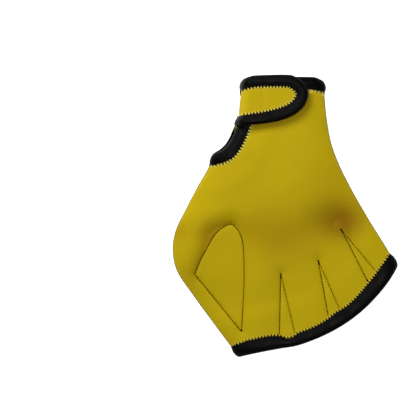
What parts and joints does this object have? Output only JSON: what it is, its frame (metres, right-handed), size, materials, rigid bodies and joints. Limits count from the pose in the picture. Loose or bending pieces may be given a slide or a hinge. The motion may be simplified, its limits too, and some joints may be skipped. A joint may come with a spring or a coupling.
{
  "type": "webbed swim glove",
  "caption": "Fingerless neoprene swim glove with webs between the fingers, taped edges and a wrist strap, lying on its palm.",
  "frame": {"origin": "under the middle of the glove, on the surface that it lies on", "axes": "+Y from the fingers to the wrist, +X from the thumb side to the little-finger side, +Z out of the back of the hand"},
  "size_m": [0.1759, 0.2211, 0.0234],
  "materials": {
    "yellow_neoprene": "matte knit-faced neoprene",
    "black_tape": "matte woven binding tape",
    "hook_and_loop": "matte hook and loop"
  },
  "bodies": {
    "root": {"back_panel": "yellow_neoprene", "palm_panel": "yellow_neoprene", "wrist_strap": "yellow_neoprene", "strap_fastener": "hook_and_loop", "finger_binding": "black_tape", "back_binding": "black_tape", "palm_wrist_binding": "black_tape", "palm_notch_binding": "black_tape", "strap_binding": "black_tape"}
  },
  "joints": []
}
